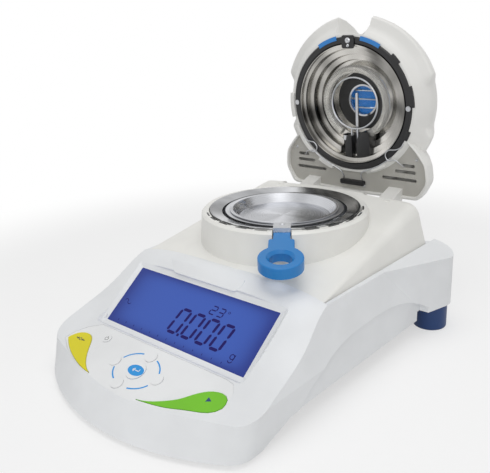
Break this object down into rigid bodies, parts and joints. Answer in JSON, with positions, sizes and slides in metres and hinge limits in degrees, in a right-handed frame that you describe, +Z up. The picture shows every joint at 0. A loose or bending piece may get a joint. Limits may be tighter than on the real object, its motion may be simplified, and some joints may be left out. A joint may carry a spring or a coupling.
{
  "type": "moisture analyzer",
  "caption": "Bench moisture analyzer with a hinged heating lid, ring lamp, sample pan with lifter, blue display, keypad and levelling feet, shown with the lid open.",
  "frame": {"origin": "on the bench, under the axis of the sample pan", "axes": "+X to the user's right, +Y to the rear, +Z up"},
  "size_m": [0.2496, 0.4038, 0.2819],
  "materials": {
    "housing": "satin cool white",
    "hood": "satin warm white",
    "lid_white": "satin white",
    "lid_grey": "matte grey beige",
    "tray_grey": "matte grey",
    "sheet_white": "satin printed sheet",
    "key_white": "satin white",
    "key_yellow": "satin yellow",
    "key_green": "satin green",
    "key_blue": "satin blue",
    "grip_blue": "semi gloss blue",
    "foot_blue": "matte navy blue",
    "vent_blue": "semi gloss blue",
    "lcd_blue": "lit blue display",
    "black": "matte black",
    "module_grey": "matte dark grey",
    "board_green": "satin solder mask",
    "ceramic": "matte ceramic",
    "insulation": "fibre board",
    "ring_chrome": "polished",
    "steel": "brushed",
    "pan_metal": "satin",
    "cell_metal": "machined",
    "reflector_metal": "polished",
    "transformer_iron": "varnished",
    "copper": "satin",
    "rubber": "matte",
    "window": "clear",
    "quartz": "clear quartz"
  },
  "bodies": {
    "base": {"base_cover": "housing", "base_tray": "tray_grey", "upper_housing": "hood", "chamber_ring": "ring_chrome", "chamber_well": "steel", "well_insulator": "insulation", "pan_support": "steel", "load_cell": "cell_metal", "cell_stem": "steel", "cell_mount": "cell_metal", "display_window": "lcd_blue", "lcd_module": "module_grey", "display_board": "board_green", "label_tab": "housing", "keypad_sheet": "sheet_white", "key_board": "board_green", "main_board": "board_green", "mains_transformer": "transformer_iron", "power_inlet": "black", "data_port": "steel", "front_feet": "rubber", "hinge_brackets": "steel", "hinge_pins": "steel"},
    "lid": {"lid_shell": "lid_white", "lid_inner_panel": "lid_grey", "bezel_ring": "black", "bezel_screws": "steel", "lip_arcs": "vent_blue", "reflector": "reflector_metal", "window_plate": "black", "window_ring": "ring_chrome", "window_glass": "window", "vent_grille": "vent_blue", "lamp_holder": "ceramic", "ring_lamp": "quartz", "guard_wire": "steel", "sensor_rod": "steel", "lamp_clips": "ring_chrome", "lead_clamp": "black", "earth_strap": "copper"},
    "lifter": {"lifter_frame": "steel", "lifter_grip": "grip_blue", "lifter_rivet": "steel"},
    "pan": {"sample_pan": "pan_metal"},
    "right_levelling_foot": {"right_foot": "foot_blue"},
    "left_levelling_foot": {"left_foot": "foot_blue"},
    "tare_key": {"tare_key": "key_yellow"},
    "start_key": {"start_key": "key_green"},
    "enter_key": {"enter_key": "key_blue"},
    "print_key": {"print_key": "key_white"},
    "view_key": {"view_key": "key_white"},
    "setting_key": {"setting_key": "key_white"},
    "test_key": {"test_key": "key_white"},
    "power_key": {"power_key": "key_white"}
  },
  "joints": [
    {"name": "lid_hinge", "type": "hinge", "parent": "base", "child": "lid", "pos_m": [0, 0.095, 0.101], "axis": [-1, 0, 0], "range_deg": [-86.2, 0]},
    {"name": "lifter_raise", "type": "slide", "parent": "base", "child": "lifter", "axis": [0, 0, 1], "range_m": [0, 0.06]},
    {"name": "pan_lift_out", "type": "slide", "parent": "lifter", "child": "pan", "axis": [0, 0, 1], "range_m": [0, 0.03]},
    {"name": "right_foot_screw", "type": "slide", "parent": "base", "child": "right_levelling_foot", "axis": [0, 0, -1], "range_m": [0, 0.008]},
    {"name": "left_foot_screw", "type": "slide", "parent": "base", "child": "left_levelling_foot", "axis": [0, 0, -1], "range_m": [0, 0.008]},
    {"name": "tare_key_press", "type": "slide", "parent": "base", "child": "tare_key", "axis": [0, 0.3551, -0.9348], "range_m": [0, 0.0005], "stiffness_N_per_m": 2000, "springref_m": -0.0003},
    {"name": "start_key_press", "type": "slide", "parent": "base", "child": "start_key", "axis": [0, 0.3551, -0.9348], "range_m": [0, 0.0005], "stiffness_N_per_m": 2000, "springref_m": -0.0003},
    {"name": "enter_key_press", "type": "slide", "parent": "base", "child": "enter_key", "axis": [0, 0.3551, -0.9348], "range_m": [0, 0.0005], "stiffness_N_per_m": 2000, "springref_m": -0.0003},
    {"name": "print_key_press", "type": "slide", "parent": "base", "child": "print_key", "axis": [0, 0.3551, -0.9348], "range_m": [0, 0.0005], "stiffness_N_per_m": 2000, "springref_m": -0.0003},
    {"name": "view_key_press", "type": "slide", "parent": "base", "child": "view_key", "axis": [0, 0.3551, -0.9348], "range_m": [0, 0.0005], "stiffness_N_per_m": 2000, "springref_m": -0.0003},
    {"name": "setting_key_press", "type": "slide", "parent": "base", "child": "setting_key", "axis": [0, 0.3551, -0.9348], "range_m": [0, 0.0005], "stiffness_N_per_m": 2000, "springref_m": -0.0003},
    {"name": "test_key_press", "type": "slide", "parent": "base", "child": "test_key", "axis": [0, 0.3551, -0.9348], "range_m": [0, 0.0005], "stiffness_N_per_m": 2000, "springref_m": -0.0003},
    {"name": "power_key_press", "type": "slide", "parent": "base", "child": "power_key", "axis": [0, 0.3551, -0.9348], "range_m": [0, 0.0005], "stiffness_N_per_m": 2000, "springref_m": -0.0003}
  ]
}
